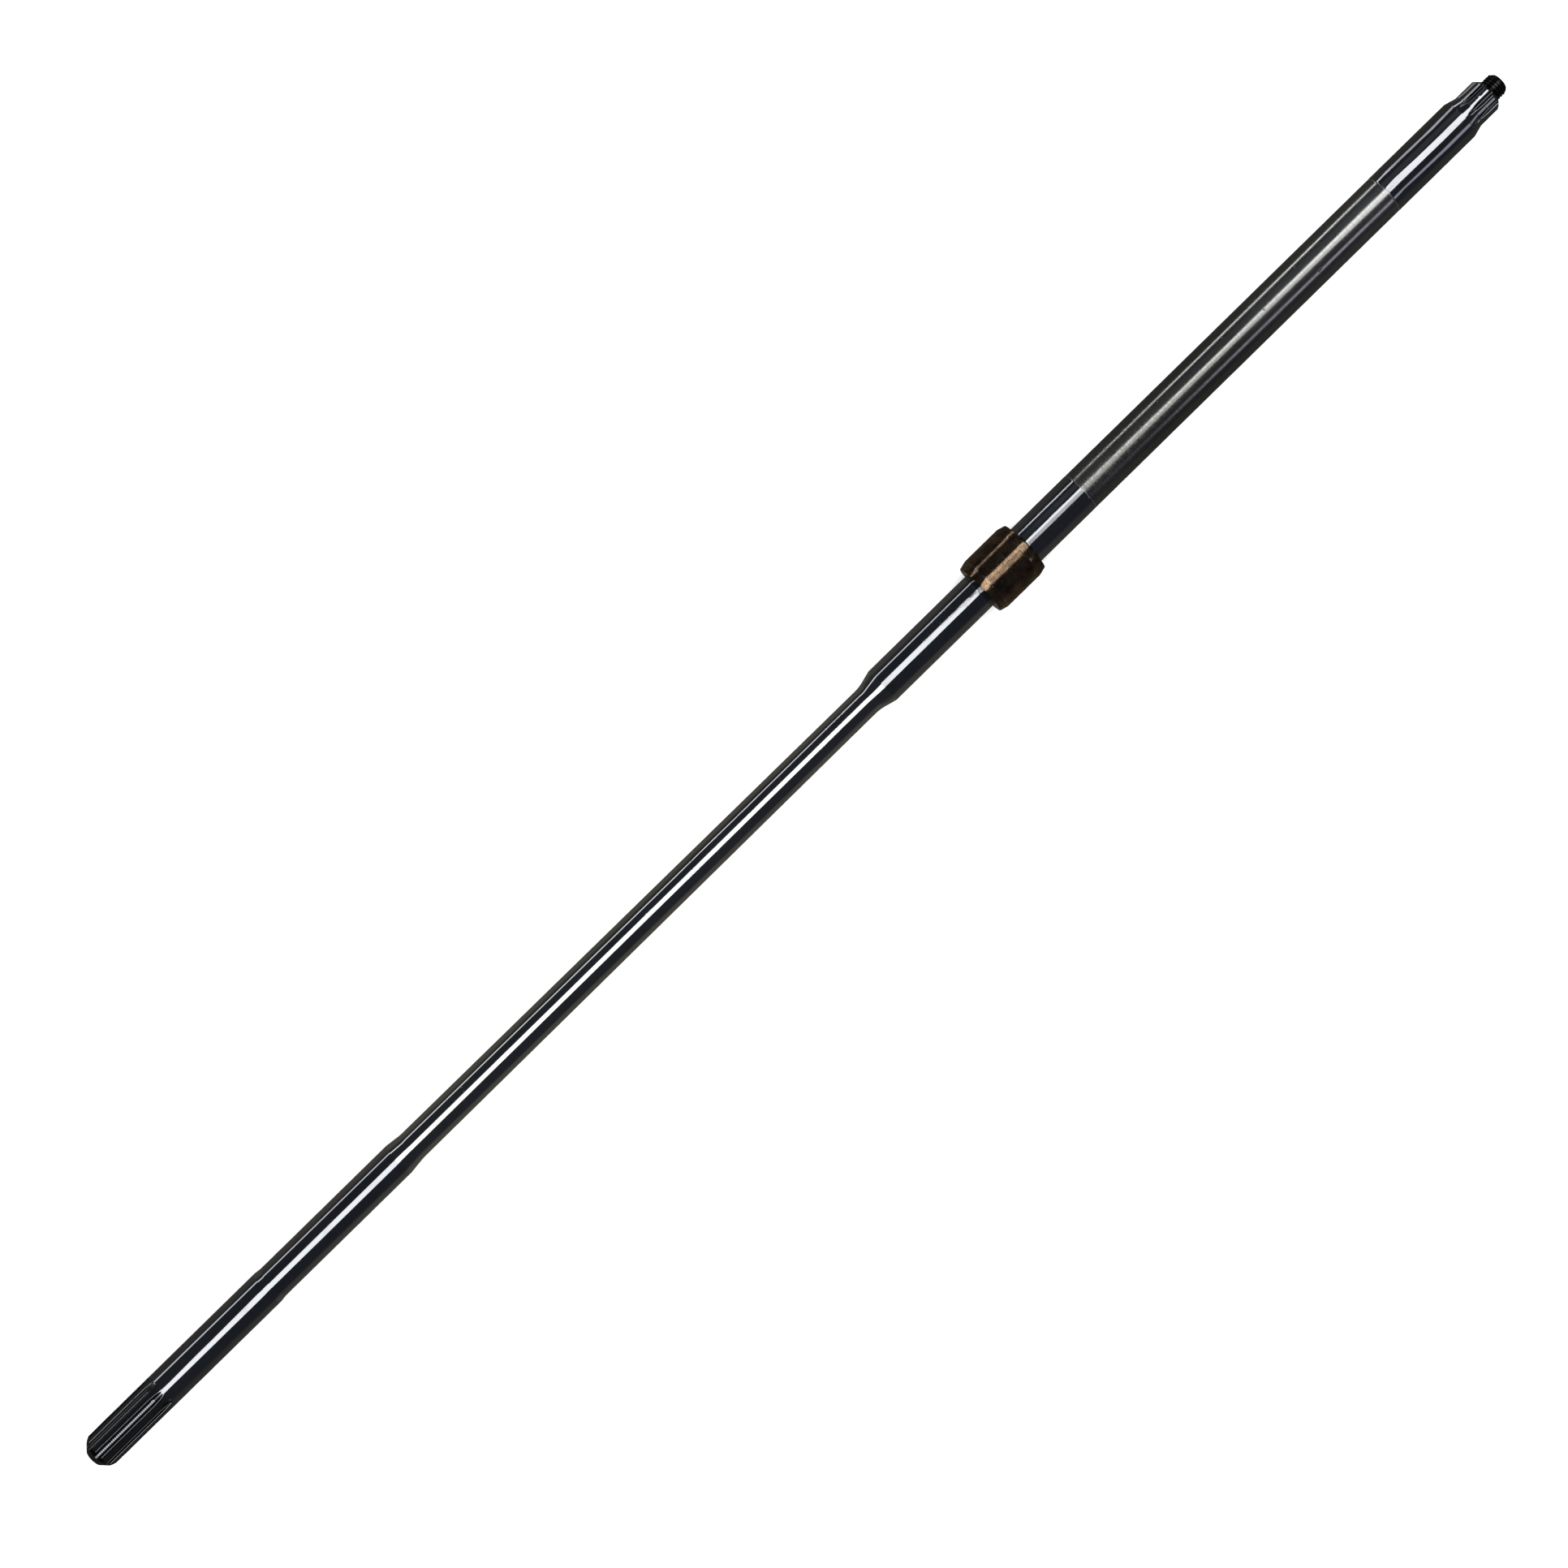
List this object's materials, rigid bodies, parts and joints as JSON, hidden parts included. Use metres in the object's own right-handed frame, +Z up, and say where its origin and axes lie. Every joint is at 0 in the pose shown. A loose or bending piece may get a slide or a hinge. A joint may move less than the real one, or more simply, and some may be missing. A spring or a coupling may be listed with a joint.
{
  "type": "splined drive shaft",
  "caption": "Long stepped steel drive shaft, splined at its slim head, splined and threaded at its pinion end, turning in a plain bronze bush.",
  "frame": {"origin": "on the shaft's axis, at the middle of the bush's length", "axes": "+X along the shaft, from the splined head towards the threaded pinion end; +Z up"},
  "size_m": [0.7752, 0.0246, 0.0246],
  "materials": {
    "ground_steel": "dark, oiled, ground bright on the journals and lands, satin turned finish between the two lower journals",
    "bush_bronze": "dark oil-soaked porous bronze, finely pitted"
  },
  "bodies": {
    "bush": {"support_bush": "bush_bronze"},
    "shaft": {"drive_shaft": "ground_steel"}
  },
  "joints": [
    {"name": "shaft_spin", "type": "hinge", "parent": "bush", "child": "shaft", "pos_m": [0, 0, 0], "axis": [1, 0, 0], "continuous": true}
  ]
}
